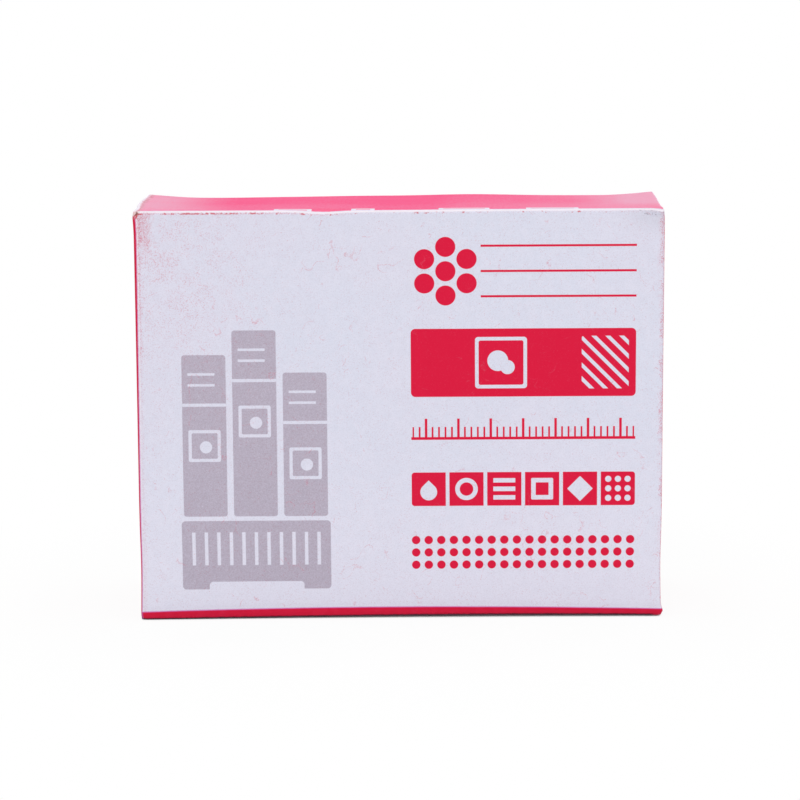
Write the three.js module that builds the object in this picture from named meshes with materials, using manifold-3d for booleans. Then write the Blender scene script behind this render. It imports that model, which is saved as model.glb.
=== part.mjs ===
// A two-piece card box of plain microscope slides, closed and standing on one long narrow side.
// Millimetres, +Z up. X runs along the box and the lid's printed panel faces -Y.
// The origin is the middle of the footprint, on the surface that the box stands on.
import * as THREE from "three";
import { mergeVertices } from "three/addons/utils/BufferGeometryUtils.js";
import Module from "manifold-3d";

const wasm = await Module();
wasm.setup();

// Glass slides
const slideLength = 76.2;
const slideWidth = 25.4;
const slideThickness = 1.18;
const slideAirGap = 0.02;
const slideCount = 50;
const slideBevel = 0.15;

// Card
const lidBoard = 0.5;
const trayBoard = 0.5;
const foldRadius = 0.1; // inside of every fold, which is scored and pressed sharp
const glueTabLength = 12;
const glueTabTaper = 2;
const glueTabSetback = 0.8; // from the rim and from the panel

// Fits
const slideEndClearance = 0.3;
const slideFrontClearance = 0.7;
const slideBackClearance = 0.1;
const stackClearance = 1.0;
const lidEndClearance = 0.2;
const lidSideClearance = 0.2;

// Forms that are free of the fits
const trayWallDepth = 22;
const wallBow = 0.45; // how far the lid's upper long wall dips in at its free edge
const bowRamp = 10; // length over which the dip sets in from each corner

// Facets
const foldSegments = 5;
const bowStations = 28;
const wallStations = 5;

// Sizes that follow
const slidePitch = slideThickness + slideAirGap;
const trayLength = slideLength + 2 * (slideEndClearance + 2 * trayBoard);
const trayHeight = slideCount * slidePitch + stackClearance + 2 * trayBoard;
const lidLength = trayLength + 2 * (lidEndClearance + 2 * lidBoard);
const lidHeight = trayHeight + 2 * (lidSideClearance + lidBoard) + wallBow;
const lidDepth =
  lidBoard + slideFrontClearance + slideWidth + slideBackClearance + trayBoard;
const trayBottom = lidBoard + lidSideClearance;

// Solids

function solidOf(geometry) {
  const bare = geometry.clone();
  bare.deleteAttribute("normal");
  bare.deleteAttribute("uv");
  const merged = mergeVertices(bare, 1e-4);
  return new wasm.Manifold(
    new wasm.Mesh({
      numProp: 3,
      vertProperties: merged.attributes.position.array,
      triVerts: new Uint32Array(merged.index.array),
    }),
  );
}

function geometryOf(solid) {
  const mesh = solid.getMesh();
  const geometry = new THREE.BufferGeometry();
  geometry.setAttribute(
    "position",
    new THREE.BufferAttribute(mesh.vertProperties, 3),
  );
  geometry.setIndex(new THREE.BufferAttribute(mesh.triVerts, 1));
  const faceted = geometry.toNonIndexed();
  faceted.computeVertexNormals();
  return faceted;
}

// Turns an extrusion along Z into one along X, with its outline's (x, y) as (y, z).
const alongX = new THREE.Matrix4().makeBasis(
  new THREE.Vector3(0, 1, 0),
  new THREE.Vector3(0, 0, 1),
  new THREE.Vector3(1, 0, 0),
);

// Turns an extrusion along Z into one along Y, with its outline's (x, y) as (z, x).
const alongY = new THREE.Matrix4().makeBasis(
  new THREE.Vector3(0, 0, 1),
  new THREE.Vector3(1, 0, 0),
  new THREE.Vector3(0, 1, 0),
);

function extruded(outline, depth) {
  return new THREE.ExtrudeGeometry(outline, {
    depth,
    bevelEnabled: false,
    curveSegments: foldSegments,
  });
}

// Joins rings of equally many points into one closed body, each end closed by a fan.
function lofted(rings) {
  const count = rings[0].length;
  const points = rings.flat();
  const faces = [];
  for (let start = 0; start + count < points.length; start += count) {
    for (let i = 0; i < count; i += 1) {
      const here = start + i;
      const next = start + ((i + 1) % count);
      faces.push(here, next, next + count);
      faces.push(here, next + count, here + count);
    }
  }
  const middleOf = (ring) =>
    ring
      .reduce((sum, point) => sum.add(point), new THREE.Vector3())
      .divideScalar(count);
  const nearCentre = points.push(middleOf(rings[0])) - 1;
  const farCentre = points.push(middleOf(rings.at(-1))) - 1;
  const farStart = count * (rings.length - 1);
  for (let i = 0; i < count; i += 1) {
    const next = (i + 1) % count;
    faces.push(nearCentre, next, i);
    faces.push(farCentre, farStart + i, farStart + next);
  }
  const geometry = new THREE.BufferGeometry().setFromPoints(points);
  geometry.setIndex(faces);
  return geometry;
}

// Folded shells. Each is worked out with its panel's outer face at y = 0, its four walls
// reaching towards +Y, and its middle at x = z = 0.

// How far the upper long wall dips at a place: nothing at the corners and along the fold,
// the full bow at the free edge past the ramps.
function bowAt(form, x, y) {
  const fromCorner = form.length / 2 - 2 * form.board - Math.abs(x);
  const ramp = THREE.MathUtils.clamp(fromCorner / bowRamp, 0, 1);
  return form.bow * Math.sin((ramp * Math.PI) / 2) * (y / form.depth);
}

// The block that the card is folded round: inset 0 is the outside of the card, and inset one
// board is the inside. Seen from the end it is a rectangle with two folded corners.
function foldedBlock(form, inset, reach) {
  const radius = form.foldRadius + form.board - inset;
  const halfLength = form.length / 2 - inset;
  const halfHeight = form.height / 2 - inset;
  const section = [];
  for (let i = 0; i <= form.wallStations; i += 1) {
    const y = THREE.MathUtils.lerp(reach, inset + radius, i / form.wallStations);
    section.push([y, halfHeight]);
  }
  for (const [start, height] of [
    [Math.PI / 2, halfHeight - radius],
    [Math.PI, radius - halfHeight],
  ]) {
    for (let i = 0; i <= foldSegments; i += 1) {
      const angle = start + ((i / foldSegments) * Math.PI) / 2;
      const y = inset + radius + radius * Math.cos(angle);
      section.push([y, height + radius * Math.sin(angle)]);
    }
  }
  section.push([reach, -halfHeight]);

  const rings = [];
  for (let i = 0; i <= form.bowStations; i += 1) {
    const x = THREE.MathUtils.lerp(-halfLength, halfLength, i / form.bowStations);
    rings.push(
      section.map(([y, z]) => {
        const dip = z > 0 ? bowAt(form, x, y) : 0;
        return new THREE.Vector3(x, y, z - dip);
      }),
    );
  }

  const plan = new THREE.Shape();
  plan.moveTo(halfLength, reach + form.board);
  plan.lineTo(-halfLength, reach + form.board);
  plan.lineTo(-halfLength, inset + radius);
  plan.absarc(
    radius - halfLength,
    inset + radius,
    radius,
    Math.PI,
    1.5 * Math.PI,
  );
  plan.lineTo(halfLength - radius, inset);
  plan.absarc(
    halfLength - radius,
    inset + radius,
    radius,
    1.5 * Math.PI,
    2 * Math.PI,
  );
  const ends = extruded(plan, form.height + 2 * form.board);
  ends.translate(0, 0, -form.height / 2 - form.board);
  return solidOf(lofted(rings)).intersect(solidOf(ends));
}

// The seam beside a short wall's cut end, where the long wall folds over into its glue tab.
function cornerSeam(form, side, edge) {
  const radius = form.foldRadius + form.board;
  const wallFace = form.length / 2 - form.board;
  const foldX = wallFace - radius;
  const foldZ = form.height / 2 - radius;
  const outline = new THREE.Shape();
  const corner = [];
  for (let i = 0; i <= foldSegments; i += 1) {
    const angle = ((i / foldSegments) * Math.PI) / 2;
    corner.push([
      foldZ + radius * Math.cos(angle),
      foldX + radius * Math.sin(angle),
    ]);
  }
  outline.moveTo(edge * (form.height / 2 + form.board), side * foldX);
  for (const [z, x] of corner) {
    outline.lineTo(edge * z, side * x);
  }
  outline.lineTo(edge * (form.height / 2 + form.board), side * wallFace);
  const cutter = extruded(outline, form.depth);
  cutter.applyMatrix4(alongY);
  cutter.translate(0, radius, 0);
  return solidOf(cutter);
}

// A long wall's glue tab, die-cut with slanted sides, on the inside of a short wall.
function glueTab(form, side, edge) {
  const front = form.board + glueTabSetback;
  const back = form.depth - glueTabSetback;
  const top = form.height / 2 - form.board / 2;
  const bottom = form.height / 2 - glueTabLength;
  const outline = new THREE.Shape();
  outline.moveTo(front, edge * top);
  outline.lineTo(back, edge * top);
  outline.lineTo(back - glueTabTaper, edge * bottom);
  outline.lineTo(front + glueTabTaper, edge * bottom);
  const tab = extruded(outline, 1.5 * form.board);
  tab.applyMatrix4(alongX);
  const inner = form.length / 2 - 2 * form.board;
  tab.translate(side > 0 ? inner : -inner - 1.5 * form.board, 0, 0);
  return solidOf(tab);
}

function foldedShell(form) {
  const outside = foldedBlock(form, 0, form.depth);
  const inside = foldedBlock(form, form.board, form.depth + form.board);
  let shell = outside.subtract(inside);
  for (const side of [-1, 1]) {
    for (const edge of [-1, 1]) {
      shell = shell.add(glueTab(form, side, edge));
      shell = shell.subtract(cornerSeam(form, side, edge));
    }
  }
  return geometryOf(shell);
}

// Gives each facet a colour by where it lies and which way it faces.
function paint(geometry, colourAt) {
  const positions = geometry.attributes.position;
  const normals = geometry.attributes.normal;
  const colours = new Float32Array(positions.count * 3);
  const place = new THREE.Vector3();
  const facing = new THREE.Vector3();
  for (let i = 0; i < positions.count; i += 3) {
    facing.fromBufferAttribute(normals, i);
    place.set(0, 0, 0);
    for (let corner = i; corner < i + 3; corner += 1) {
      place.x += positions.getX(corner) / 3;
      place.y += positions.getY(corner) / 3;
      place.z += positions.getZ(corner) / 3;
    }
    const colour = colourAt(place, facing);
    for (let corner = i; corner < i + 3; corner += 1) {
      colour.toArray(colours, corner * 3);
    }
  }
  geometry.setAttribute("color", new THREE.BufferAttribute(colours, 3));
}

// Colours
const panelWhite = new THREE.Color(0xdcdcea);
const sideCrimson = new THREE.Color(0xdb2043);
const boardGrey = new THREE.Color(0xc9c4b8);

// Lid: white printed panel, crimson walls, bare board inside.
const lidForm = {
  length: lidLength,
  height: lidHeight,
  depth: lidDepth,
  board: lidBoard,
  foldRadius,
  bow: wallBow,
  bowStations,
  wallStations,
};

function makeLid() {
  const geometry = foldedShell(lidForm);
  const skin = lidBoard / 4;
  paint(geometry, (place, facing) => {
    const outermost =
      Math.abs(place.x) > lidLength / 2 - skin ||
      Math.abs(place.z) > lidHeight / 2 - wallBow - skin ||
      place.y < foldRadius + lidBoard;
    if (facing.y < -0.9 && place.y < skin) {
      return panelWhite;
    }
    const outwards = facing.x * place.x + facing.z * place.z;
    return outermost && outwards > 0 ? sideCrimson : boardGrey;
  });
  geometry.translate(0, -lidDepth / 2, lidHeight / 2);
  const material = new THREE.MeshStandardMaterial({
    vertexColors: true,
    roughness: 0.42,
    metalness: 0,
    side: THREE.DoubleSide,
  });
  const lid = new THREE.Mesh(geometry, material);
  lid.name = "lid";
  return lid;
}

// Tray: bare board, its floor closing the lid's open side.
function makeTray() {
  const geometry = foldedShell({
    length: trayLength,
    height: trayHeight,
    depth: trayWallDepth,
    board: trayBoard,
    foldRadius,
    bow: 0,
    bowStations: 1,
    wallStations: 1,
  });
  geometry.rotateZ(Math.PI);
  const material = new THREE.MeshStandardMaterial({
    color: boardGrey,
    roughness: 0.85,
    metalness: 0,
  });
  const tray = new THREE.Mesh(geometry, material);
  tray.name = "tray";
  tray.position.set(0, lidDepth / 2, trayBottom + trayHeight / 2);
  return tray;
}

// Slides: plain glass with ground edges, lying flat on one another.
function slideGeometry() {
  const halfLength = slideLength / 2 - slideBevel;
  const halfWidth = slideWidth / 2 - slideBevel;
  const face = new THREE.Shape();
  face.moveTo(-halfLength, -halfWidth);
  face.lineTo(halfLength, -halfWidth);
  face.lineTo(halfLength, halfWidth);
  face.lineTo(-halfLength, halfWidth);
  const geometry = new THREE.ExtrudeGeometry(face, {
    depth: slideThickness - 2 * slideBevel,
    bevelEnabled: true,
    bevelThickness: slideBevel,
    bevelSize: slideBevel,
    bevelSegments: 1,
  });
  geometry.translate(0, 0, slideBevel);
  return geometry;
}

function makeSlides() {
  const geometry = slideGeometry();
  const material = new THREE.MeshStandardMaterial({
    color: 0xd5e6e0,
    roughness: 0.06,
    metalness: 0,
    transparent: true,
    opacity: 0.5,
  });
  const stackBottom = trayBottom + trayBoard + slideAirGap;
  const stackMiddle =
    lidDepth / 2 - trayBoard - slideBackClearance - slideWidth / 2;
  return Array.from({ length: slideCount }, (_, index) => {
    const slide = new THREE.Mesh(geometry, material.clone());
    slide.name = "slide_" + String(index + 1).padStart(2, "0");
    slide.position.set(0, stackMiddle, stackBottom + index * slidePitch);
    return slide;
  });
}

const group = new THREE.Group();
group.add(makeTray(), ...makeSlides(), makeLid());

export default group;
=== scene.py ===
"""A closed card box of plain microscope slides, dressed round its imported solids.

The lid is one folded sheet of printed card, worn at its folds. Under it a grey board tray holds
fifty glass slides, which keep their own solids and take a glass finish. Lengths are millimetres
up to the point where a mesh is made, and the shader works in millimetres too. Only the lamps and
the floor are set out in metres.
"""

import math
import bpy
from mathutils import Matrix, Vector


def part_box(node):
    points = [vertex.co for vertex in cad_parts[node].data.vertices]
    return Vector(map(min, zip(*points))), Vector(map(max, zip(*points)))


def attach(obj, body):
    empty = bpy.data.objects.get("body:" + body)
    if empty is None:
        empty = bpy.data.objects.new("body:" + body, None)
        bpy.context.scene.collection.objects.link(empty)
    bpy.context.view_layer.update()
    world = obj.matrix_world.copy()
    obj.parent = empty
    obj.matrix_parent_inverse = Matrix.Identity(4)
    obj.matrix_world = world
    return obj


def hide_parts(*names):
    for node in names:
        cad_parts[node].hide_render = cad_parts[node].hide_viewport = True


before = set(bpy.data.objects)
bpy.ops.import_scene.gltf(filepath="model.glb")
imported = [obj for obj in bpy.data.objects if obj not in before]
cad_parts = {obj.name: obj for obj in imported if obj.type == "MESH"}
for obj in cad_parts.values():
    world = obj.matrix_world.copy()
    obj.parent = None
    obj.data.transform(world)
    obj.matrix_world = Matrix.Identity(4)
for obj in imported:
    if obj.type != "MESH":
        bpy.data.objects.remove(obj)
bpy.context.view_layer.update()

from types import SimpleNamespace

import bpy
import numpy as np
from mathutils import Matrix, Vector

MM = 0.001
BOARD = 0.5
FOLD_RADIUS = 0.55  # outside of a scored fold
TAB_LENGTH = 12.0
TAB_TAPER = 2.0
TAB_SETBACK = 0.8


def box_mm(node):
    """A solid's lowest and highest corners."""
    low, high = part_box(node)
    return np.array(low) / MM, np.array(high) / MM


LID_LOW, LID_HIGH = box_mm("lid")
TRAY_LOW, TRAY_HIGH = box_mm("tray")
LID_HALF = (LID_HIGH - LID_LOW) / 2
LID_MIDDLE = (LID_HIGH + LID_LOW) / 2
FRONT = LID_LOW[1]
REAR = LID_HIGH[1]
TOP = LID_HIGH[2]
LEFT = LID_LOW[0]
RIGHT = LID_HIGH[0]


# Meshes --------------------------------------------------------------------------------------


def quads(rows, columns, flipped=False):
    """Faces between the neighbouring points of a grid whose rows are laid end to end."""
    index = np.arange(rows * columns).reshape(rows, columns)
    corners = (index[:-1, :-1], index[:-1, 1:], index[1:, 1:], index[1:, :-1])
    faces = np.stack(corners, axis=-1).reshape(-1, 4)
    return faces[:, ::-1] if flipped else faces


def smooth_step(low, high, value):
    """0 below low, 1 above high, and an even S between them."""
    share = np.clip((value - low) / (high - low), 0, 1)
    return share * share * (3 - 2 * share)


def make_piece(name, points, faces, bare, flat=None, sharp_degrees=40):
    """A mesh object from points in millimetres. Points that coincide become one. bare marks each
    face that shows uncoated board, and flat holds the points' places before the card was bent."""
    keys = np.round(points, 4)
    _, first, merged = np.unique(keys, axis=0, return_index=True, return_inverse=True)
    faces = merged.reshape(-1)[faces]
    mesh = bpy.data.meshes.new(name)
    mesh.from_pydata((points[first] * MM).tolist(), [], faces.tolist())
    bare_layer = mesh.attributes.new("bare_board", "FLOAT", "FACE")
    bare_layer.data.foreach_set("value", np.asarray(bare, np.float32))
    flat_layer = mesh.attributes.new("flat_place", "FLOAT_VECTOR", "POINT")
    flat_places = (points if flat is None else flat)[first]
    flat_layer.data.foreach_set("vector", flat_places.astype(np.float32).ravel())
    mesh.polygons.foreach_set("use_smooth", np.ones(len(mesh.polygons), bool))
    mesh.set_sharp_from_angle(angle=math.radians(sharp_degrees))
    mesh.update()
    piece = bpy.data.objects.new(name, mesh)
    bpy.context.scene.collection.objects.link(piece)
    return piece


# Tangents over half a fold, from its middle to where the card is flat. They crowd together at
# the middle, where the lengthwise corners are sharp, and at the seam that a cut end leaves.
FOLD_TANGENTS = -np.array([1, 0.985, 0.96, 0.92, 0.86, 0.76, 0.6, 0.4, 0.25, 0.17, 0.09, 0.03])


def across_lines(half, spacing, near):
    """Grid lines from one fold to the opposite one. Each has a place on the inner box, from -1
    to 1, and a tangent that is 0 except within the folds. near lists extra distances from the
    folds, where creases and dents need finer lines."""
    count = max(2, round(2 * half / spacing))
    near_share = 1 - np.array(near) / half
    inner = np.unique(np.concatenate([np.linspace(-1, 1, count), near_share, -near_share]))
    edge = np.ones(len(FOLD_TANGENTS))
    place = np.concatenate([-edge, inner, edge])
    return place, np.concatenate([FOLD_TANGENTS, np.zeros(len(inner)), -FOLD_TANGENTS[::-1]])


def depth_lines(count):
    """Grid lines from the panel's fold to the free edge, as across_lines but with one fold, whose
    lines are equal angles apart."""
    tangents = -np.tan(np.linspace(math.pi / 4, 0, 6))[:-1]
    place = np.concatenate([-np.ones(len(tangents)), np.linspace(-1, 1, count)])
    return place, np.concatenate([tangents, np.zeros(count)])


def folded_points(shell, inset, x_line, y_line, z_line):
    """Points of a card box open at its +Y side: a point of an inner box plus the fold's radius
    along a direction (x, y, z). The direction's length is the hypotenuse of y and a width, which
    is the tenth root of x and z, each to the tenth power, added up. So the panel's four folds
    are round, and the lengthwise edges, where cut edges meet, are nearly sharp."""
    (fx, tx), (fy, ty), (fz, tz) = (np.broadcast_arrays(*line) for line in (x_line, y_line, z_line))
    half = shell.half - np.array([inset, 0, inset])
    front = inset - shell.half[1]
    radius = max(FOLD_RADIUS - inset, 0.1)
    core_y = front + radius + (fy + 1) / 2 * (shell.half[1] - front - radius)
    core = np.stack([fx * (half[0] - radius), core_y, fz * (half[2] - radius)], axis=-1)
    away = np.stack(np.broadcast_arrays(tx, ty, tz), axis=-1)
    across = (np.abs(away[..., 0]) ** 10 + np.abs(away[..., 2]) ** 10) ** 0.1
    return core + radius * away / np.hypot(across, away[..., 1])[..., None]


def folded_faces(shell, inset):
    """The five sides of one face of the card, as grids of points, each with whether its faces
    have to be turned round to look outwards."""
    x_lines = [line[:, None] for line in shell.x_lines]
    z_across = [line[None, :] for line in shell.z_lines]
    z_down = [line[:, None] for line in shell.z_lines]
    y_across = [line[None, :] for line in shell.y_lines]
    sides = []

    def side(*lines, flipped):
        shape = np.broadcast_shapes(*(part.shape for line in lines for part in line))
        spread = [[np.broadcast_to(part, shape) for part in line] for line in lines]
        sides.append((folded_points(shell, inset, *spread), flipped))

    low = [np.full((1, 1), -1.0)] * 2
    high = [np.full((1, 1), 1.0)] * 2
    side(x_lines, low, z_across, flipped=True)
    side(x_lines, y_across, high, flipped=True)
    side(x_lines, y_across, low, flipped=False)
    side(low, y_across, z_down, flipped=True)
    side(high, y_across, z_down, flipped=False)
    return sides


def folded_shell(name, shell, place, bend):
    """A card shell of the board's thickness: its outer face, its inner face, and a strip along
    the free edge that joins them. place puts its points where they belong, and bend then moves
    those of both faces alike."""
    outer = folded_faces(shell, 0.0)
    inner = folded_faces(shell, BOARD)
    points, faces, bare = [], [], []
    start = 0

    def add(grid, flipped, bare_value):
        nonlocal start
        rows, columns = grid.shape[:2]
        made = quads(rows, columns, flipped)
        points.append(grid.reshape(-1, 3))
        faces.append(made + start)
        bare.append(np.full(len(made), bare_value))
        start += rows * columns

    for (outside, flipped), (inside, _) in zip(outer, inner):
        add(outside, flipped, 0.0)
        add(inside, not flipped, 1.0)
    for (outside, flipped), (inside, _) in zip(outer[1:], inner[1:]):
        add(np.stack([outside[:, -1], inside[:, -1]], axis=1), flipped, 1.0)
    flat = place(np.concatenate(points))
    return make_piece(name, bend(flat), np.concatenate(faces), np.concatenate(bare), flat)


def glue_tabs(name, shell, place):
    """Four die-cut tabs inside the short walls: a long wall's end, folded in and glued. Each is
    a trapezium nearly as thick as the board, a hair off the long wall."""
    hair = 0.02
    front = -shell.half[1] + BOARD + TAB_SETBACK
    back = shell.half[1] - TAB_SETBACK
    top = shell.half[2] - BOARD - hair
    bottom = shell.half[2] - TAB_LENGTH
    outline = [[front, top], [back, top], [back - TAB_TAPER, bottom], [front + TAB_TAPER, bottom]]
    inner = shell.half[0] - 2 * BOARD
    plate = np.array([[x, y, z] for x in (inner, inner + BOARD - hair) for y, z in outline])
    sides = [[0, 3, 2, 1], [4, 5, 6, 7]]
    sides += [[i, (i + 1) % 4, (i + 1) % 4 + 4, i + 4] for i in range(4)]
    sides = np.array(sides)
    points, faces = [], []
    for side in (-1, 1):
        for edge in (-1, 1):
            turned = sides[:, ::-1] if side * edge > 0 else sides
            faces.append(turned + 8 * len(points))
            points.append(plate * [side, 1, edge])
    faces = np.concatenate(faces)
    points = place(np.concatenate(points))
    piece = make_piece(name, points, faces, np.ones(len(faces)), sharp_degrees=20)
    rounding = piece.modifiers.new("rounding", "BEVEL")
    rounding.width = 0.08 * MM
    rounding.segments = 2
    return piece


# Shader maths --------------------------------------------------------------------------------


class Value:
    """A number that varies over a surface: an output socket whose arithmetic adds Math nodes."""

    def __init__(self, finish, socket):
        self.finish = finish
        self.socket = socket

    def __add__(self, other):
        return self.finish.math("ADD", self, other)

    def __sub__(self, other):
        return self.finish.math("SUBTRACT", self, other)

    def __rsub__(self, other):
        return self.finish.math("SUBTRACT", other, self)

    def __mul__(self, other):
        return self.finish.math("MULTIPLY", self, other)

    def __truediv__(self, other):
        return self.finish.math("DIVIDE", self, other)

    def __abs__(self):
        return self.finish.math("ABSOLUTE", self)

    def __or__(self, other):
        return self.finish.math("MAXIMUM", self, other)

    def __and__(self, other):
        return self.finish.math("MINIMUM", self, other)

    __radd__ = __add__
    __rmul__ = __mul__

    def step(self, low, high):
        """0 below low, 1 above high and an even S between, or the other way round when low is
        the larger."""
        settings = {"interpolation_type": "SMOOTHSTEP"}
        if low < high:
            inputs = {"Value": self, "From Min": low, "From Max": high}
        else:
            inputs = {"Value": self, "From Min": high, "From Max": low}
            inputs.update({"To Min": 1.0, "To Max": 0.0})
        return self.finish.value("ShaderNodeMapRange", settings, inputs, "Result")

    def near(self, centre, width):
        """1 at centre, falling to 0 at width away on either side."""
        return abs(self - centre).step(width, 0)


class Finish:
    """A material being built. node() makes every node, and the rest name common uses of it."""

    def __init__(self, name, places=None):
        self.material = bpy.data.materials.new(name)
        self.material.use_nodes = True
        self.tree = self.material.node_tree
        self.tree.nodes.clear()
        if places:
            self.place = self.value("ShaderNodeAttribute", {"attribute_name": places}, {}, "Vector")
        else:
            self.place = self.scaled(self.value("ShaderNodeTexCoord", {}, {}, "Object"), 1 / MM)
        split = self.node("ShaderNodeSeparateXYZ", {}, {"Vector": self.place})
        self.x, self.y, self.z = (Value(self, split.outputs[axis]) for axis in "XYZ")

    def node(self, kind, settings, inputs):
        """Adds a node: settings first, then each socket's value or link."""
        made = self.tree.nodes.new(kind)
        for name, setting in settings.items():
            setattr(made, name, setting)
        for key, given in inputs.items():
            if isinstance(given, Value):
                self.tree.links.new(given.socket, made.inputs[key])
            else:
                made.inputs[key].default_value = given
        return made

    def value(self, kind, settings, inputs, output=0):
        return Value(self, self.node(kind, settings, inputs).outputs[output])

    def math(self, operation, *operands):
        return self.value("ShaderNodeMath", {"operation": operation}, dict(enumerate(operands)))

    def vector(self, operation, *operands, output=0):
        settings = {"operation": operation}
        return self.value("ShaderNodeVectorMath", settings, dict(enumerate(operands)), output)

    def scaled(self, vector, factor):
        inputs = {"Vector": vector, "Scale": factor}
        return self.value("ShaderNodeVectorMath", {"operation": "SCALE"}, inputs)

    def combined(self, x, y, z):
        return self.value("ShaderNodeCombineXYZ", {}, {"X": x, "Y": y, "Z": z})

    def turned(self, plane, pivot, degrees):
        """Coordinates of a plane seen from a frame turned about the Y axis at pivot."""
        inputs = {"Vector": plane, "Center": pivot, "Angle": math.radians(degrees)}
        return self.value("ShaderNodeVectorRotate", {"rotation_type": "Y_AXIS"}, inputs)

    def noise(self, scale, detail=3.0, rough=0.5, stretch=(1, 1, 1), shift=(0, 0, 0), at=None):
        """Noise from 0 to 1 with scale cycles a millimetre, stretched along the axes."""
        moved = self.vector("MULTIPLY_ADD", at or self.place, stretch, shift)
        inputs = {"Vector": moved, "Scale": scale, "Detail": detail, "Roughness": rough}
        return self.value("ShaderNodeTexNoise", {}, inputs, "Fac")

    def mix(self, share, first, second):
        """Colour first where share is 0 and second where it is 1."""
        settings = {"data_type": "RGBA"}
        return self.value("ShaderNodeMix", settings, {0: share, 6: first, 7: second}, 2)

    def attribute(self, name):
        return self.value("ShaderNodeAttribute", {"attribute_name": name}, {}, "Fac")

    def bumped(self, height, distance_mm, strength=1.0, under=None):
        """A normal bent by height, where a height of 1 stands distance_mm proud."""
        inputs = {"Height": height, "Distance": distance_mm * MM, "Strength": strength}
        if under is not None:
            inputs["Normal"] = under
        return self.value("ShaderNodeBump", {}, inputs, "Normal")

    def surface(self, **sockets):
        """A Principled BSDF with its sockets given by name, underscores for spaces."""
        inputs = {key.replace("_", " "): given for key, given in sockets.items()}
        return self.value("ShaderNodeBsdfPrincipled", {}, inputs, "BSDF")

    def done(self, shader):
        self.node("ShaderNodeOutputMaterial", {}, {"Surface": shader})
        return self.material


def colour(red, green, blue):
    """A display colour from 0 to 255 as the linear light that shaders work in."""
    def linear(level):
        share = level / 255
        return share / 12.92 if share <= 0.04045 else ((share + 0.055) / 1.055) ** 2.4

    return (linear(red), linear(green), linear(blue), 1.0)


# Shapes of ink on a flat face. plane holds the face's two coordinates with a 0 between them, and
# a shape is 1 inside and 0 outside.

INK_SPREAD = 0.05


def inked(distance):
    """1 where a signed distance is negative, over an edge as wide as ink spreads."""
    return distance.step(INK_SPREAD, -INK_SPREAD)


def disc(finish, plane, centre, radius):
    """A round spot: distance from the centre less the radius."""
    reach = finish.vector("DISTANCE", plane, centre, output="Value")
    return inked(reach - radius)


def block(finish, plane, centre, half, radius=0.25):
    """A rectangle with rounded corners: distance outside the smaller rectangle that the corner
    circles centre on, less their radius."""
    offset = finish.vector("ABSOLUTE", finish.vector("SUBTRACT", plane, centre))
    beyond = finish.vector("SUBTRACT", offset, (half[0] - radius, 0, half[1] - radius))
    outside = finish.vector("LENGTH", finish.vector("MAXIMUM", beyond, (0, 0, 0)), output="Value")
    return inked(outside - radius)


def square_ring(finish, plane, centre, outer, inner, corners):
    """A square outline: a block with a smaller one taken out of it. outer and inner are half
    their sides, and corners are their corner radii."""
    hole = block(finish, plane, centre, (inner, inner), corners[1])
    return block(finish, plane, centre, (outer, outer), corners[0]) * (1 - hole)


def every(finish, along, pitch):
    """A coordinate folded so that it runs from minus to plus half a pitch in every repeat."""
    return finish.math("WRAP", along, pitch / 2, -pitch / 2)


# Colours -------------------------------------------------------------------------------------

PAPER_WHITE = colour(223, 222, 236)
PAPER_COOL = colour(215, 217, 232)
PAPER_PINK = colour(217, 216, 231)
CREASE_WHITE = colour(236, 232, 240)
FOLD_WHITE = colour(227, 220, 228)
PRINT_RED = colour(214, 11, 57)
PRINT_RED_THIN = colour(236, 96, 120)
SIDE_RED = colour(207, 10, 54)
SIDE_RED_BRIGHT = colour(218, 40, 78)
THIN_RED = colour(204, 104, 184)
PAINTED_SHEEN_RED = colour(238, 6, 94)
PALE_PINK = colour(230, 147, 168)
PRINT_GREY = colour(184, 176, 192)
PRINT_GREY_LIGHT = colour(192, 185, 200)
PRINT_GREY_DARK = colour(167, 157, 172)
SCUFF_RED = colour(205, 84, 108)
FLECK_RED = colour(196, 52, 60)
SOIL = colour(120, 104, 116)
BRUISE_BROWN = colour(104, 74, 62)
CORNER_PALE = colour(226, 204, 204)
CARD_CORE = colour(238, 232, 236)
FOOT_SHADE_RED = colour(60, 5, 18)
BARE_BOARD = colour(203, 199, 190)
BARE_FLAKE = colour(168, 160, 148)
GREY_BOARD = colour(176, 170, 158)
GREY_BOARD_LIGHT = colour(192, 187, 175)
GREY_BOARD_DULL = colour(170, 163, 150)
DARK_FIBRE = colour(112, 104, 94)
LIGHT_FIBRE = colour(216, 212, 202)
COATING_SHEEN = (0.5, 0.5, 1.0, 1.0)
GLASS_CLEAR = (0.93, 0.975, 0.96, 1.0)
GLASS_EDGE = (0.62, 0.78, 0.72, 1.0)
FROST_LOW = colour(196, 220, 212)
FROST_HIGH = colour(226, 238, 233)


# The lid's print: a generic design, with no words ---------------------------------------------

RACK_MIDDLE = -22.4
RACK_SLIDES = ((-7.8, 41.6), (0.0, 45.4), (7.8, 38.8))  # place along the rack, upper end
COLUMN_MIDDLE = 19.1
COLUMN_HALF = 17.3
SIDE_MARKS = ((-16.2, 2.9), (-5.4, 1.8), (10.1, 3.9), (23.6, 4.0))  # place along, half length


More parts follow.
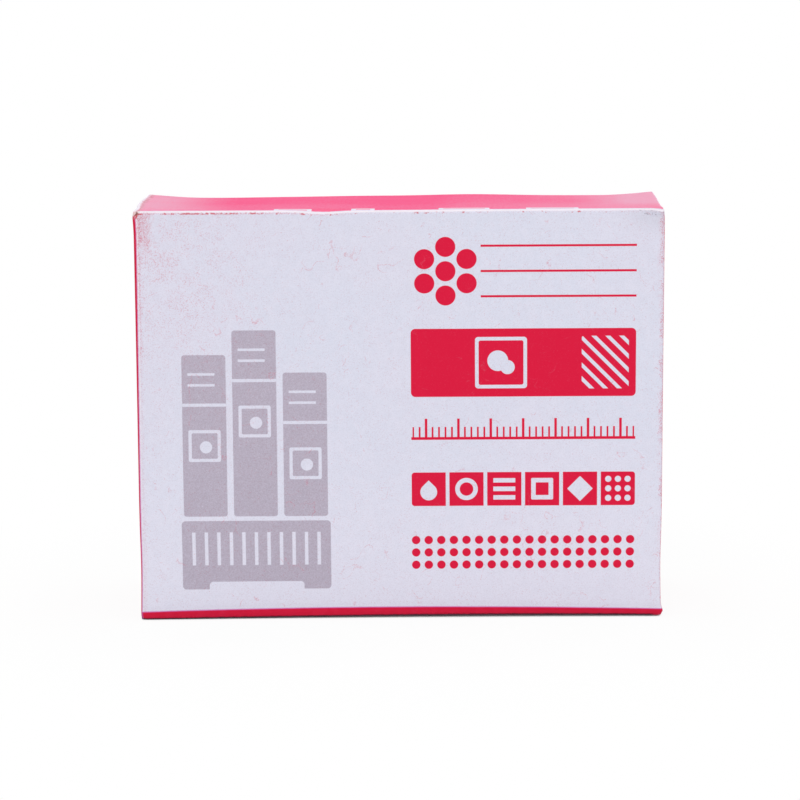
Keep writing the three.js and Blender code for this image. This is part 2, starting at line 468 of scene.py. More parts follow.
def slide_rack(finish, plane):
    """Three upright slides in a low footed rack with slots. Each has a label end with two lines
    and a square cover glass over a round specimen."""
    drawn = None
    foot = 16.3
    for along, upper in RACK_SLIDES:
        x = RACK_MIDDLE + along
        body = block(finish, plane, (x, 0, (upper + foot) / 2), (3.4, (upper - foot) / 2), 0.45)
        bare = block(finish, plane, (x, 0, upper - 7.8), (3.4, 0.25), 0.1)
        for down in (3.0, 4.7):
            bare = bare | block(finish, plane, (x - 0.4, 0, upper - down), (2.1, 0.2), 0.1)
        cover = (x, 0, upper - 14.2)
        bare = bare | square_ring(finish, plane, cover, 2.5, 2.0, (0.3, 0.2))
        bare = bare | disc(finish, plane, (x + 0.2, 0, cover[2] - 0.2), 0.95)
        slide = body * (1 - bare)
        drawn = slide if drawn is None else drawn | slide
    rack = block(finish, plane, (RACK_MIDDLE, 0, 10.2), (11.6, 5.4), 0.6)
    slots = inked(abs(every(finish, finish.x - RACK_MIDDLE, 1.95)) - 0.27)
    slots = slots * block(finish, plane, (RACK_MIDDLE, 0, 11.2), (10.3, 2.6), 0.1)
    arch = block(finish, plane, (RACK_MIDDLE, 0, 4.4), (7.4, 1.6), 0.6)
    return drawn | (rack * (1 - (slots | arch)))


def slide_picture(finish, plane):
    """One bold slide lying along the column, with a square cover glass over a specimen and a
    hatched label end."""
    middle = (COLUMN_MIDDLE, 0, 40.2)
    body = block(finish, plane, middle, (COLUMN_HALF, 5.3), 0.7)
    glass = (COLUMN_MIDDLE - 3.4, 0, middle[2])
    frame_line = square_ring(finish, plane, glass, 4.0, 3.45, (0.5, 0.3))
    specimen = disc(finish, plane, (glass[0] - 0.5, 0, glass[2] + 0.3), 1.6)
    specimen = specimen | disc(finish, plane, (glass[0] + 1.0, 0, glass[2] - 0.7), 1.1)
    slant = every(finish, (finish.x + finish.z) * math.sqrt(0.5), 1.5)
    hatch = inked(abs(slant) - 0.27)
    label = block(finish, plane, (COLUMN_MIDDLE + 12.6, 0, middle[2]), (3.6, 4.1), 0.3)
    return body * (1 - (frame_line | specimen | (hatch * label)))


def ruler(finish, plane):
    """A graduated scale: a base line with a tick each millimetre and a longer one each five."""
    base = 28.4
    line = block(finish, plane, (COLUMN_MIDDLE, 0, base), (COLUMN_HALF, 0.22), 0.1)
    offset = finish.x - COLUMN_MIDDLE
    span = inked(abs(offset) - (COLUMN_HALF - 0.2))
    above = inked(base - finish.z)
    short = inked(abs(every(finish, offset, 1.0)) - 0.14) * inked(finish.z - (base + 1.8))
    tall = inked(abs(every(finish, offset, 5.0)) - 0.2) * inked(finish.z - (base + 3.1))
    return line | (span * above * (short | tall))


def signs(finish, plane):
    """A row of six squares, each with one plain shape knocked out of it."""
    side, middle = 5.3, 20.4
    pitch = (2 * COLUMN_HALF - side) / 5
    first = COLUMN_MIDDLE - COLUMN_HALF + side / 2
    centres = [(first + i * pitch, 0, middle) for i in range(6)]
    row = block(finish, plane, (COLUMN_MIDDLE, 0, middle), (COLUMN_HALF, side / 2), 0.5)
    between = inked((pitch - side) / 2 - abs(every(finish, finish.x - first - pitch / 2, pitch)))
    squares = row * between
    low = (centres[0][0], 0, middle - 0.45)
    tip = block(finish, finish.turned(plane, low, 45), low, (1.3, 1.3), 0.05)
    drop = disc(finish, plane, low, 1.3) | (tip * inked(low[2] + 0.92 - finish.z))
    ring = disc(finish, plane, centres[1], 1.75) * (1 - disc(finish, plane, centres[1], 1.05))
    bars = block(finish, plane, centres[2], (1.7, 1.7), 0.1)
    bars = bars * inked(abs(every(finish, finish.z - middle, 1.36)) - 0.36)
    square = square_ring(finish, plane, centres[3], 1.7, 1.0, (0.2, 0.1))
    diamond = block(finish, finish.turned(plane, centres[4], 45), centres[4], (1.4, 1.4), 0.1)
    dots = spots(finish, centres[5], 1.5, 0.48) * block(finish, plane, centres[5], (2.2, 2.2), 0.1)
    return squares * (1 - (drop | ring | bars | square | diamond | dots))


def spots(finish, centre, pitch, radius):
    """Round spots on a square grid: distance from the middle of each cell less the radius."""
    across = every(finish, finish.x - centre[0], pitch)
    up = every(finish, finish.z - centre[2], pitch)
    reach = finish.vector("LENGTH", finish.combined(across, 0.0, up), output="Value")
    return inked(reach - radius)


def wells(finish, plane):
    """Three rows of small round spots, set out like the wells of a plate."""
    pitch, rows_middle = 1.96, 10.4
    spot = spots(finish, (COLUMN_MIDDLE - pitch / 2, 0, rows_middle), pitch, 0.66)
    half = (COLUMN_HALF + 0.2, 1.5 * pitch)
    return spot * block(finish, plane, (COLUMN_MIDDLE, 0, rows_middle), half, 0.1)


def cells(finish, plane):
    """Seven round cells in a ring, and three write-in lines beside them."""
    middle = (COLUMN_MIDDLE - 11.9, 0, 54.4)
    cluster = disc(finish, plane, middle, 1.55)
    for i in range(6):
        angle = math.radians(60 * i + 30)
        centre = (middle[0] + 3.75 * math.cos(angle), 0, middle[2] + 3.75 * math.sin(angle))
        cluster = cluster | disc(finish, plane, centre, 1.55)
    lines = inked(abs(every(finish, finish.z - middle[2], 3.9)) - 0.17)
    page = block(finish, plane, (COLUMN_MIDDLE + 5.4, 0, middle[2]), (11.9, 4.4), 0.1)
    return cluster | (lines * page)


def side_row(finish):
    """Four small slides on the upper narrow side, close to the printed panel's fold."""
    plane = finish.combined(finish.x, 0.0, finish.y)
    row = None
    for centre, half in SIDE_MARKS:
        place = (centre, 0, FRONT + 2.0)
        shape = block(finish, plane, place, (half, 1.1), 0.25)
        slot = block(finish, plane, place, (half - 0.7, 0.3), 0.15)
        shape = shape * (1 - slot)
        row = shape if row is None else row | shape
    return row * finish.z.step(TOP - 3, TOP - 2)


# Finishes ------------------------------------------------------------------------------------


def hair_lines(finish, scale, shift, width):
    """Thin wandering lines: where a slow noise passes through its middle value."""
    level = finish.noise(scale, 2, 0.5, shift=shift)
    return level.near(0.5, width)


def printed_card():
    """Coated folding board: white panel, red sides, worn and scuffed at its folds. The print
    follows the card, so it reads the places from before the card was bent."""
    finish = Finish("printed_card", "flat_place")
    x, y, z = finish.x, finish.y, finish.z
    plane = finish.combined(x, 0.0, z)
    from_left, from_right = x - LEFT, RIGHT - x
    from_top, from_end, behind = TOP - z, RIGHT - abs(x), y - FRONT
    from_middle = abs(z - LID_MIDDLE[2])
    wander = finish.noise(0.22, 2, shift=(3, 1, 7)) - 0.5
    fray = finish.noise(2.6, 3, 0.65) - 0.5
    chips = finish.noise(1.3, 3, 0.65, shift=(0, 8, 0))
    fine = finish.noise(6.2, 2, 0.75, shift=(5, 0, 1))

    # The white print's limits: short of the lower and left folds, past the other two. Its lower
    # edge is a shallow bow, and its left edge leans in a little towards the top.
    off_middle = x + 1.0
    bottom_edge = 1.75 - off_middle * off_middle * 0.00031
    left_edge = LEFT + 0.16 + (z / TOP) * 0.28
    wrap = 0.3 + from_top.step(0.9, 0.5) * 0.72
    on_panel = (behind - wrap + fray * 0.45).step(0.06, -0.06)
    above_band = (z - bottom_edge + wander * 0.15 + fray * 0.06).step(-0.05, 0.05)
    right_of_line = (x - left_edge + fray * 0.12).step(-0.05, 0.05)
    white_field = on_panel * above_band * right_of_line

    red_print = slide_picture(finish, plane) | ruler(finish, plane) | signs(finish, plane)
    red_print = red_print | wells(finish, plane) | cells(finish, plane)
    grey_print = slide_rack(finish, plane)

    # Paper and inks, a little uneven. The upper side's paler, pinker red is painted sheen: bright
    # surroundings caught at a glancing angle, palest towards its ends.
    cloud = finish.noise(0.055, 3, 0.55, shift=(11, 0, 5))
    mottle = finish.noise(0.8, 4, 0.7, shift=(0, 4, 2))
    paper = finish.mix(cloud.step(0.35, 0.65), PAPER_COOL, PAPER_PINK)
    # Paper mottled lighter in patches, and painted lighter towards its foot: painted light against
    # the shade that falls low on the panel.
    paper = finish.mix(mottle.step(0.35, 0.7) * 0.5 + z.step(36, 0) * 0.75, paper, PAPER_WHITE)
    # Fine grey specks, and a faint darkening just above the lower edge of the white.
    soil_and_low_darkening = fine.step(0.4, 0.68) * 0.095 + (z - bottom_edge).step(1.6, 0) * 0.04
    paper = finish.mix(soil_and_low_darkening, paper, SOIL)
    lift = finish.noise(3.2, 3, 0.7, shift=(9, 2, 0)).step(0.55, 0.75)
    grey = finish.mix(mottle.step(0.35, 0.7) * 0.4, PRINT_GREY, PRINT_GREY_LIGHT)
    grey = finish.mix(fine.step(0.36, 0.64) * 0.7, grey, PRINT_GREY_DARK)
    grey = finish.mix(lift * 0.3, grey, PAPER_WHITE)
    red = finish.mix(lift * 0.12, PRINT_RED, PRINT_RED_THIN)
    face = finish.mix(grey_print, paper, grey)
    face = finish.mix(red_print, face, red)
    sides = finish.mix(mottle.step(0.4, 0.8) * 0.35, SIDE_RED, SIDE_RED_BRIGHT)
    # The share below is painted sheen over the upper side, from the sheen red towards pale pink:
    # more at the ends, less by the middle, uneven with noise.
    left_end = x.step(-24, -39)
    right_end = x.step(26, 37)
    painted_sheen = 0.05 + left_end * 0.85 + x.step(-4, 44) * 0.36 + right_end * 0.5 - x.near(0, 12) * 0.1
    painted_sheen = painted_sheen + behind.step(15, 3) * (0.16 - left_end * 0.2 - right_end * 0.46)
    painted_sheen = painted_sheen + (cloud - 0.5) * 0.5 + (mottle - 0.5) * 0.2 - behind.step(6, 1) * left_end * 0.25
    painted_sheen = painted_sheen + (finish.noise(2.4, 3, 0.7, stretch=(1, 0.18, 1)) - 0.5) * 0.5
    painted_sheen = painted_sheen + x.step(33, 38) * behind.step(5, 12) * 0.2 + behind.near(8, 7) * 0.045
    on_top = (from_top - from_end).step(0.1, 0.0) * from_top.step(0.9, 0.7)
    sides = finish.mix(on_top, sides, finish.mix(painted_sheen & 1, PAINTED_SHEEN_RED, PALE_PINK))
    thin = (z - bottom_edge - 0.02).near(0, 0.17) | (x - left_edge - 0.05).near(0, 0.15)
    # Painted shade along the foot, where the lower fold turns under towards the floor: a dark line
    # with a broken upper edge, weak by the right end, and a slight darkening over the band's lower
    # part.
    foot_shade = (z + chips * 0.3 + fray * 0.2).step(0.52, 0.36)
    foot_shade = foot_shade * (0.1 + from_right.step(0.9, 1.6) * 0.8) | (z.step(1.4, 0.3) * 0.12)
    sides = finish.mix(foot_shade * (1 - on_top), sides, FOOT_SHADE_RED)
    sides = finish.mix(side_row(finish), sides, FOLD_WHITE)
    tone = finish.mix(white_field, sides, face)
    tone = finish.mix(thin * on_panel * 0.75, tone, THIN_RED)

    # Ink rubbed off the sides on to the panel: fine specks, thick by the left fold.
    patch = finish.noise(0.3, 3, 0.6, shift=(2, 0, 9)).step(0.36, 0.6)
    thick = (from_left + chips * 3).step(4.8, 3.2) * (from_top + chips * 6).step(11, 7)
    column = (from_left + chips).step(1.9, 1.2) * (0.3 + from_top.step(32, 6) * 0.6)
    wide = from_left.step(34, 3) * from_top.step(46, 6) * (patch * 0.65 + 0.15)
    rubbed_end = (from_right + chips * 1.6).step(2.0, 1.1)
    rubbed_end = rubbed_end * from_top.step(11, 7) * from_top.step(0.8, 1.8)
    worn_stretches = finish.noise(0.35, 2, shift=(0, 3, 17)).step(0.4, 0.56)
    edge_rub = (from_right + chips * 1.3 + fray * 0.8).step(1.5, 1.0)
    edge_rub = edge_rub * (z + chips * 20).step(14, 30) * (0.25 + worn_stretches * 0.75)
    density = thick | column | wide | (rubbed_end | edge_rub) * 0.9 | (patch * 0.3)
    specks = (fine + density * 0.17).step(0.66, 0.76) * white_field
    tone = finish.mix(specks * (0.36 + (column | edge_rub) * 0.35), tone, SCUFF_RED)
    film = thick | column * 0.8 | rubbed_end * 0.5 | edge_rub * 0.4 | wide * 0.12
    tone = finish.mix(film * fine.step(0.25, 0.66) * white_field * 0.42, tone, SCUFF_RED)
    strokes = finish.noise(0.55, 2, 0.6, stretch=(1, 1, 0.45), shift=(7, 0, 31)).step(0.53, 0.65)
    hairs = hair_lines(finish, 0.13, (0, 0, 31), 0.007) * strokes
    hairs = hairs | (hair_lines(finish, 0.21, (50, 0, 3), 0.01) * strokes * patch)
    tone = finish.mix(hairs * white_field * fine.step(0.35, 0.6) * 0.42, tone, SCUFF_RED)
    above = from_top - 0.35
    knocked = (from_right - 2.2) * (from_right - 2.2) * 0.16 + above * above * 2
    spots_of_dirt = (fray + knocked.step(1.3, 0.1) * 0.08).step(0.14, 0.2)
    spots_of_dirt = spots_of_dirt * knocked.step(2.0, 0.6) * 0.75
    # A faint grey below the upper fold towards the right end, uneven with the chips noise.
    dull = from_right.step(9, 0) * from_top.step(5, 0) * (0.08 + chips * 0.2)
    tone = finish.mix((spots_of_dirt | dull) * white_field, tone, SOIL)

    # Folds worn to the white of the card, with broken ink beside them. The white along the left
    # crease is partly wear and partly a painted highlight on the fold's edge.
    top_fold = (from_top + fray * 0.16).step(0.3, 0.18) * behind.step(0.62, 0.5)
    top_fold = top_fold * right_of_line * (0.6 + chips.step(0.3, 0.5) * 0.4)
    tone = finish.mix(top_fold, tone, FOLD_WHITE)
    # Partly wear and partly painted highlight: white along the left crease, stronger towards the
    # top.
    left_crease_wear_and_highlight = (x - left_edge - 0.2 + fray * 0.14).near(0.0, 0.2) * on_panel * above_band
    crease_whiteness = 0.2 + from_top.step(50, 20) * 0.25 + chips.step(0.4, 0.55) * 0.25
    tone = finish.mix(left_crease_wear_and_highlight * crease_whiteness, tone, CREASE_WHITE)
    flecks = (from_top - 0.38 + fray * 0.3).near(0.0, 0.22) * right_of_line * behind.step(0.5, 0.3)
    busy = (x + 27.5).near(0, 9) * 0.1 + from_left.step(3, 0) * 0.12 + x.step(-10, -16) * 0.03
    tone = finish.mix(flecks * (chips + busy).step(0.58, 0.64) * 0.85, tone, FLECK_RED)
    faint = flecks * fine.step(0.42, 0.62) * (0.15 + x.step(-2, -20) * 0.5)
    tone = finish.mix(faint, tone, SCUFF_RED)
    corner_wear = (from_left * from_left + from_top * from_top + chips * 3).step(3.4, 1.8)
    tone = finish.mix(corner_wear * chips.step(0.42, 0.5) * 0.6, tone, CREASE_WHITE)
    tone = finish.mix(corner_wear * fine.step(0.4, 0.52) * 0.9, tone, FLECK_RED)
    worn_corner = (from_left * 0.7 + from_top + fray * 0.3).step(0.85, 0.65) * behind.step(0.8, 0.5)
    tone = finish.mix(worn_corner * 0.85, tone, CORNER_PALE)
    bruise = (abs(from_left - 0.6) + abs(from_top - 0.45) * 0.6 + fray).step(0.5, 0.2)
    bruise_tone = finish.mix(from_top.step(0.6, 0.4) * 0.85, FLECK_RED, BRUISE_BROWN)
    tone = finish.mix(bruise * behind.step(0.7, 0.3) * 0.9, tone, bruise_tone)

    # The short walls' cut ends, seen along the long walls' edges, and bare board inside.
    upper_left = x.step(0, -1) * z.step(30, 31)
    strip_width = 0.1 + x.step(0, -1) * (0.24 + behind.step(20, 4) * 0.2)
    end_strip = (strip_width - from_end + fray * 1.2 + (chips - 0.5) * 0.6).step(-0.03, 0.03)
    long_wall = (from_middle - (LID_HALF[2] - 0.16 - upper_left * 0.3)).step(-0.04, 0.02)
    cut_end = end_strip * long_wall * behind.step(0.55, 1.0)
    by_long_wall = (from_middle - (LID_HALF[2] - 0.9)).step(-0.1, 0.1)
    core = finish.mix(chips.step(0.5, 0.64) * (0.7 - on_top * 0.55), CARD_CORE, PALE_PINK)
    core = finish.mix(fine.step(0.54, 0.66) * (0.5 - upper_left * 0.4), core, FLECK_RED)
    # Painted light on the rounded upper left fold, lifting the shade that falls where it turns
    # away, together with some frayed pale card.
    fray_and_painted_light = (from_end + fray * 0.8).step(0.85, 0.4) * from_top.step(0.9, 0.6)
    tone = finish.mix(upper_left * fray_and_painted_light * behind.step(0.6, 1.0) * 0.36, tone, CARD_CORE)
    tone = finish.mix(cut_end, tone, core)
    by_end = (from_end + chips * 1.4).step(1.35, 1.15)
    by_top = (from_top + chips * 1.1).step(0.75, 0.6) * from_end.step(0.3, 0.1)
    flaked = (by_end | by_top) * (fray + (cloud - 0.5) * 0.3).step(0.0, 0.14)
    flaked = flaked * behind.step(0.5, 0.8) * (1 - cut_end) * by_long_wall
    tone = finish.mix(flaked * (0.36 - on_top * 0.2), tone, CARD_CORE)
    bare = finish.attribute("bare_board")
    flakes = finish.noise(1.6, 4, 0.8, shift=(1, 1, 1)).step(0.62, 0.74)
    board = finish.mix(flakes * 0.4, BARE_BOARD, BARE_FLAKE)
    tone = finish.mix(bare, tone, board)

    grain = finish.noise(4.5, 3, 0.6)
    swell = finish.noise(0.25, 2, 0.5)
    relief = finish.bumped(grain, 0.012, 0.5)
    relief = finish.bumped(swell, 0.08, 0.5, under=relief)
    shader = finish.surface(
        Base_Color=tone,
        Roughness=0.5 + mottle * 0.12 + specks * 0.15 + bare * 0.3,
        Normal=relief,
        Specular_IOR_Level=0.15,
        Sheen_Weight=0.22,
        Sheen_Roughness=0.4,
        Sheen_Tint=COATING_SHEEN,
    )
    return finish.done(shader)


def grey_card():
    """Uncoated grey board: short fibres, light and dark flecks and a dull surface."""
    finish = Finish("grey_card")
    fibres = finish.noise(1.9, 4, 0.75, stretch=(0.45, 1, 1))
    flecks = finish.noise(2.4, 3, 0.8, shift=(7, 7, 7))
    cloud = finish.noise(0.09, 3, 0.5)
    tone = finish.mix(fibres.step(0.35, 0.65), GREY_BOARD, GREY_BOARD_LIGHT)
    tone = finish.mix(cloud.step(0.35, 0.7) * 0.22, tone, GREY_BOARD_DULL)
    tone = finish.mix(flecks.step(0.64, 0.7) * 0.55, tone, DARK_FIBRE)
    tone = finish.mix(flecks.step(0.36, 0.3) * 0.5, tone, LIGHT_FIBRE)
    relief = finish.bumped(fibres, 0.03, 0.6)
    shader = finish.surface(
        Base_Color=tone,
        Roughness=0.78 + fibres * 0.15,
        Normal=relief,
        Specular_IOR_Level=0.35,
    )
    return finish.done(shader)


def slide_glass(width_low, width_high, length_half):
    """Clear glass with polished faces, frosted and greener at its ground edges, which start at
    the bevels. width_low and width_high are the places of its long edges along Y, and
    length_half is half its length."""
    finish = Finish("slide_glass")
    bevel = (-0.16, -0.1)
    end = (abs(finish.x) - length_half).step(*bevel)
    edge = (finish.y - width_high).step(*bevel) | (width_low - finish.y).step(*bevel)
    ground = end | edge
    grit = finish.noise(6.0, 3, 0.6)
    tone = finish.mix(ground, GLASS_CLEAR, GLASS_EDGE)
    frosted = finish.bumped(grit, 0.01, 0.5)
    clear = finish.surface(
        Base_Color=tone,
        Roughness=0.02 + ground * (0.3 + grit * 0.2),
        Normal=frosted,
        IOR=1.52,
        Transmission_Weight=1.0,
    )
    frost = finish.mix(grit, FROST_LOW, FROST_HIGH)
    milky = finish.surface(Base_Color=frost, Roughness=0.45)
    shader = finish.value("ShaderNodeMixShader", {}, {0: ground * 0.55, 1: clear, 2: milky})
    return finish.done(shader)


# Pieces --------------------------------------------------------------------------------------

LID_SPACING = 0.8  # between grid lines, over the flat of a wall
TRAY_SPACING = 2.0


def end_lean(points):
    """How far the lid's short walls lean to the left along their upper edges. S-shaped steps
    take it from nothing at the front fold to its most part of the way back, and a little down
    again. It is more at the left end, and dies out 8 mm below the edges."""
    x, y, z = points.T
    along = np.clip((y - FRONT) / (REAR - FRONT), 0, 1)
    left = 0.48 * smooth_step(0.14, 0.5, along) - 0.12 * smooth_step(0.65, 0.9, along)
    right = 0.28 * smooth_step(0.0, 0.14, along) - 0.13 * smooth_step(0.4, 0.62, along)
    by_end = np.clip(np.abs(x) / LID_HALF[0], 0, 1) ** 6
    return np.where(x < 0, left, right) * by_end * smooth_step(TOP - 8, TOP - 0.5, z)


def lid_bend(points):
    """The lid's handling marks, as moves in millimetres. along runs from 0 at the panel to 1 at
    the free edge, across from -1 to 1 over the length, and upward from 0 to 1 over the height."""
    x, y, z = points.T
    along = np.clip((y - FRONT) / (REAR - FRONT), 0, 1)
    across = np.clip(x / LID_HALF[0], -1, 1)
    upward = np.clip(z / TOP, 0, 1)
    moved = points.copy()
    moved[:, 0] -= end_lean(points)

    # The upper wall dips, more towards its free edge: a quarter sine of the distance from each
    # corner and a little extra by the left end, less two low crowns.
    ramp = np.sin(np.clip((LID_HALF[0] - 0.4 - np.abs(x)) / 8.6, 0, 1) * math.pi / 2)
    crown = 0.27 * np.exp(-(((x - 11) / 9.5) ** 2)) + 0.1 * np.exp(-(((x + 6) / 8) ** 2))
    dip = ramp * (0.5 + 0.08 * np.exp(-(((x + 28) / 7) ** 2)) - crown) * along**1.1
    moved[:, 2] -= dip * smooth_step(TOP - 2.2, TOP - 1.2, z)

    # The short walls pull in by half a sine over the height, more towards the free edge. Near
    # the foot both ends stand off to one side, and the right end leans out towards the top.
    on_ends = smooth_step(LID_HALF[0] - 1.6, LID_HALF[0] - 0.9, np.abs(x))
    moved[:, 0] -= np.sign(x) * on_ends * np.sin(upward * math.pi) * 0.22 * along**1.2
    low_part = np.exp(-(((z - 8) / 6) ** 2))
    shift = np.where(x > 0, 0.22 * upward**2 - 0.17 * low_part, 0.14 * low_part)
    moved[:, 0] += shift * np.abs(across) ** 3

    # The panel sways by slow sines that its edges hold still. Its lower left corner stands
    # proud, by the squares of the nearness to the foot, to the left end and to the panel.
    on_panel = smooth_step(FRONT + 0.7, FRONT + 0.4, y)
    sway = np.sin(x * 0.11 + 0.7) * np.sin(z * 0.13 + 0.4) + 0.5 * np.sin(x * 0.31 + z * 0.17)
    hold = np.sin(upward * math.pi) * np.cos(across * math.pi / 2)
    moved[:, 1] += on_panel * 0.07 * sway * hold
    moved[:, 1] -= 1.35 * (1 - upward) ** 2 * (0.5 - across / 2) ** 2 * (1 - along) ** 2

    # The panel's lower fold arches off the surface by a cosine over the length. Its upper fold
    # sags in two bell curves.
    low_fold = smooth_step(1.6, 0.2, z) * smooth_step(FRONT + 2.5, FRONT, y)
    arch = 0.26 * np.cos((across - 0.3) * math.pi / 2.3).clip(0, 1) + 0.06 * (1 - across**8)
    moved[:, 2] += low_fold * arch
    high_fold = smooth_step(TOP - 1.6, TOP - 0.4, z) * smooth_step(FRONT + 4, FRONT + 0.5, y)
    sag = 0.08 * np.exp(-(((x + 4) / 14) ** 2)) + 0.26 * np.exp(-(((x + 11.5) / 3.2) ** 2))
    moved[:, 2] -= high_fold * sag

    # A cut end shows along each lengthwise edge: a strip set down, with a seam beside it. At
    # the upper edges it is pressed nearly flat.
    edge_height = np.abs(z - LID_MIDDLE[2]) - LID_HALF[2]
    from_end = LID_HALF[0] - np.abs(x)
    on_long_walls = smooth_step(-0.3, -0.05, edge_height) * smooth_step(0.9, 1.8, y - FRONT)
    seam = np.clip(1 - np.abs(from_end - BOARD) / 0.06, 0, 1) * 0.06
    ripple = 0.04 + 0.03 * np.sin(y * 2.3 + x)
    cut_end = smooth_step(0.46, 0.4, from_end) * ripple * (1 - along**4)
    pressed = np.where(z > LID_MIDDLE[2], 0.15, 1)
    moved[:, 2] -= np.sign(z - LID_MIDDLE[2]) * on_long_walls * pressed * (seam + cut_end)

    # Knocked and flared corners of the panel: place, reach, and how far the corner moves.
    for corner_x, corner_z, reach, into in (
        (RIGHT, TOP, 1.2, (-0.1, 0.2, -0.3)),
        (LEFT, TOP, 2.2, (-0.17, 0.0, 0.0)),
        (LEFT, TOP, 0.6, (0.3, 0.1, -0.3)),
        (RIGHT, 0.85, 0.75, (0.42, 0.0, 0.0)),
        (RIGHT, 0.0, 0.5, (-0.2, 0.1, 0.1)),
        (LEFT, 0.0, 0.6, (0.16, 0.1, 0.1)),
    ):
        corner = np.array([corner_x, FRONT, corner_z])
        near = np.exp(-((np.linalg.norm(points - corner, axis=1) / reach) ** 2))
        moved += near[:, None] * np.array(into)

    # Small dents below the upper fold: place along it, distance below it, and depth.
    for dent_x, below, depth in (
        (37.1, 0.55, 0.16),
        (38.9, 0.95, 0.2),
        (35.9, 0.4, 0.1),
        (-38.6, 0.6, 0.1),
    ):
        away = np.hypot(x - dent_x, (z - (TOP - below)) * 1.4)
        moved[:, 1] += on_panel * depth * np.exp(-((away / 0.5) ** 2))
    return moved


def make_lid():
    def upright(points):
        return points + LID_MIDDLE

    def leaning(points):
        placed = upright(points)
        placed[:, 0] -= end_lean(placed)
        return placed

    shell = SimpleNamespace(half=LID_HALF)
    near = (0.2, 0.4, 0.6, 0.9, 1.2, 1.6)
    shell.x_lines = across_lines(LID_HALF[0], LID_SPACING, near)
    shell.z_lines = across_lines(LID_HALF[2], LID_SPACING, near)
    shell.y_lines = depth_lines(26)
    lid = folded_shell("lid_card", shell, upright, lid_bend)
    tabs = glue_tabs("lid_glue_tabs", shell, leaning)
    return lid, tabs


def make_tray():
    low, high = TRAY_LOW, TRAY_HIGH
    shell = SimpleNamespace(half=(high - low) / 2)
    near = (0.1, 0.25, 0.5, 1.0)
    shell.x_lines = across_lines(shell.half[0], TRAY_SPACING, near)
    shell.z_lines = across_lines(shell.half[2], TRAY_SPACING, near)
    shell.y_lines = depth_lines(12)
    middle = (low + high) / 2

    def turned(points):
        """Half a turn about Z, so that the tray opens towards -Y."""
        return points * [-1, -1, 1] + middle

    tray = folded_shell("tray_card", shell, turned, lambda points: points)
    tabs = glue_tabs("tray_glue_tabs", shell, turned)
    return tray, tabs


def dress(piece, material, body, node):
    """Gives a piece its material, the body it rides on and the node it replaces."""
    piece.data.materials.append(material)
    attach(piece, body)
    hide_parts(node)


# Stage ---------------------------------------------------------------------------------------

WHITE_LIGHT = (1.0, 1.0, 1.0, 1.0)
FLOOR_PAINT = (0.84, 0.84, 0.84, 1.0)
LAMP_SIDE = 0.6  # metres


def make_camera():
    """Looks slightly down on the panel from a little to its right, a small turn off level."""
    aim = Vector((0.1, FRONT, 34.43)) * MM
    distance = 466.6 * MM
    pitch, yaw, roll = (math.radians(angle) for angle in (9.367, -1.043, -0.439))
    level_share = math.cos(pitch)
    ahead = Vector((math.sin(yaw) * level_share, math.cos(yaw) * level_share, -math.sin(pitch)))
    level = Vector((math.cos(yaw), -math.sin(yaw), 0))
    upward = level.cross(ahead)
    right = level * math.cos(roll) + upward * math.sin(roll)
    above = upward * math.cos(roll) - level * math.sin(roll)
    camera = bpy.data.objects.new("camera", bpy.data.cameras.new("camera"))
    camera.data.lens = 135.97
    camera.data.sensor_width = 36
    camera.data.clip_start = 0.01
    turn = Matrix((right, above, -ahead)).transposed().to_4x4()
    camera.matrix_world = Matrix.Translation(aim - ahead * distance) @ turn
    bpy.context.scene.collection.objects.link(camera)
    bpy.context.scene.camera = camera


def make_lamp(name, place, watts):
    """A soft square lamp, at a place in metres, that faces the middle of the box."""
    data = bpy.data.lights.new(name, "AREA")
    data.shape = "SQUARE"
    data.size = LAMP_SIDE
    data.energy = watts
    lamp = bpy.data.objects.new(name, data)
    target = Vector((0, 0, 0.03))
    lamp.location = Vector(place)
    lamp.rotation_euler = (target - lamp.location).to_track_quat("-Z", "Y").to_euler()
    bpy.context.scene.collection.objects.link(lamp)


def seen_directly(tree):
    """A socket that is 1 for rays that show the surroundings: from the camera, off a gloss or
    through glass."""
    rays = tree.nodes.new("ShaderNodeLightPath")
    total = None
    for name in ("Is Camera Ray", "Is Glossy Ray", "Is Transmission Ray"):
        if total is None:
            total = rays.outputs[name]
            continue
        joined = tree.nodes.new("ShaderNodeMath")
        joined.operation = "MAXIMUM"
        tree.links.new(total, joined.inputs[0])
        tree.links.new(rays.outputs[name], joined.inputs[1])
        total = joined.outputs[0]
    return total


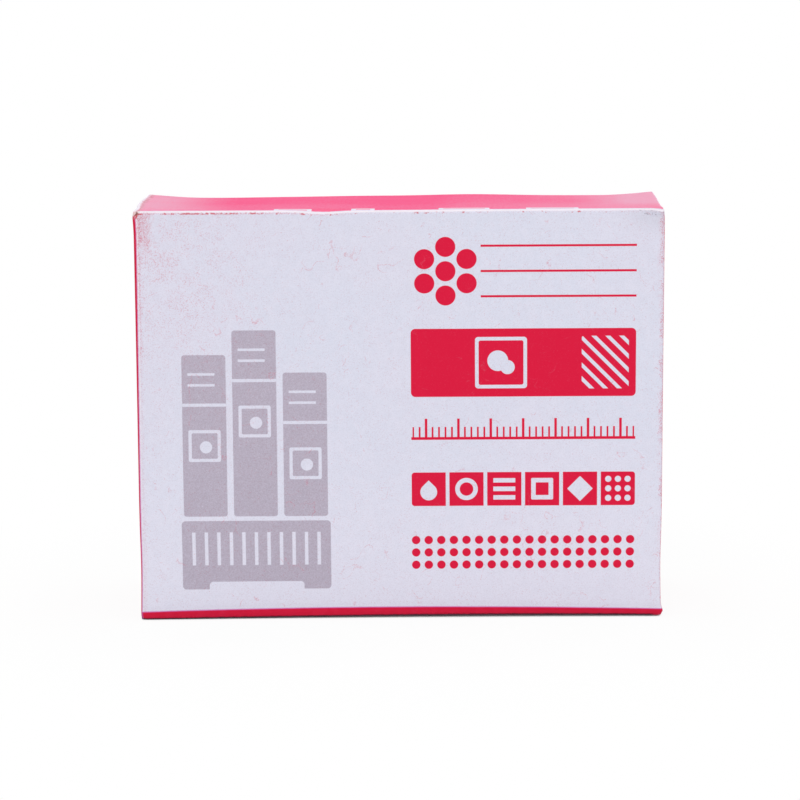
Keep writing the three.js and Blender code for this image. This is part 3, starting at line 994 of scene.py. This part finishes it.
def make_world(strength):
    """Even white surroundings, seen as plain white and giving a soft light of its own."""
    world = bpy.data.worlds.new("surroundings")
    world.use_nodes = True
    tree = world.node_tree
    tree.nodes.clear()
    light = tree.nodes.new("ShaderNodeBackground")
    light.inputs["Color"].default_value = WHITE_LIGHT
    light.inputs["Strength"].default_value = strength
    white = tree.nodes.new("ShaderNodeBackground")
    white.inputs["Color"].default_value = WHITE_LIGHT
    choice = tree.nodes.new("ShaderNodeMixShader")
    tree.links.new(seen_directly(tree), choice.inputs[0])
    tree.links.new(light.outputs[0], choice.inputs[1])
    tree.links.new(white.outputs[0], choice.inputs[2])
    output = tree.nodes.new("ShaderNodeOutputWorld")
    tree.links.new(choice.outputs[0], output.inputs["Surface"])
    bpy.context.scene.world = world


def make_floor(size):
    """A white floor, level with the box's underside. It keeps the box's shadow: seen directly it
    is white light that gives way to plain paint where the box closes it in."""
    corners = [(-size, -size, 0), (size, -size, 0), (size, size, 0), (-size, size, 0)]
    mesh = bpy.data.meshes.new("floor")
    mesh.from_pydata(corners, [], [(0, 1, 2, 3)])
    floor = bpy.data.objects.new("floor", mesh)
    bpy.context.scene.collection.objects.link(floor)
    finish = Finish("floor_white")
    plain = finish.surface(Base_Color=FLOOR_PAINT, Roughness=0.9, Specular_IOR_Level=0.1)
    glow = finish.value("ShaderNodeEmission", {}, {"Color": WHITE_LIGHT, "Strength": 1.0})
    reach = finish.vector("LENGTH", finish.place, output="Value")
    reached = {"Distance": 1 * MM}
    openness = finish.value("ShaderNodeAmbientOcclusion", {"samples": 6}, reached, "AO")
    share = (0.93 + reach.step(50, 90) * 0.07) * openness.step(0.05, 0.52)
    lit = finish.value("ShaderNodeMixShader", {}, {0: share, 1: plain, 2: glow})
    seen = Value(finish, seen_directly(finish.tree))
    shader = finish.value("ShaderNodeMixShader", {}, {0: seen, 1: plain, 2: lit})
    mesh.materials.append(finish.done(shader))


make_camera()
make_world(strength=0.53)
make_lamp("key", (-0.4, -1.0, 0.6), watts=3.55)
make_lamp("fill", (0.75, -0.7, 0.25), watts=2.4)
make_lamp("top", (0.0, 0.15, 0.9), watts=4.0)
make_floor(size=3.0)

card = printed_card()
for piece in make_lid():
    dress(piece, card, "lid", "lid")
board = grey_card()
for piece in make_tray():
    dress(piece, board, "tray", "tray")

slide_low, slide_high = box_mm("slide_01")
glass = slide_glass(slide_low[1], slide_high[1], slide_high[0])
for name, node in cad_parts.items():
    if name.startswith("slide_"):
        node.data.materials.clear()
        node.data.materials.append(glass)

bpy.context.scene.view_settings.view_transform = "Standard"
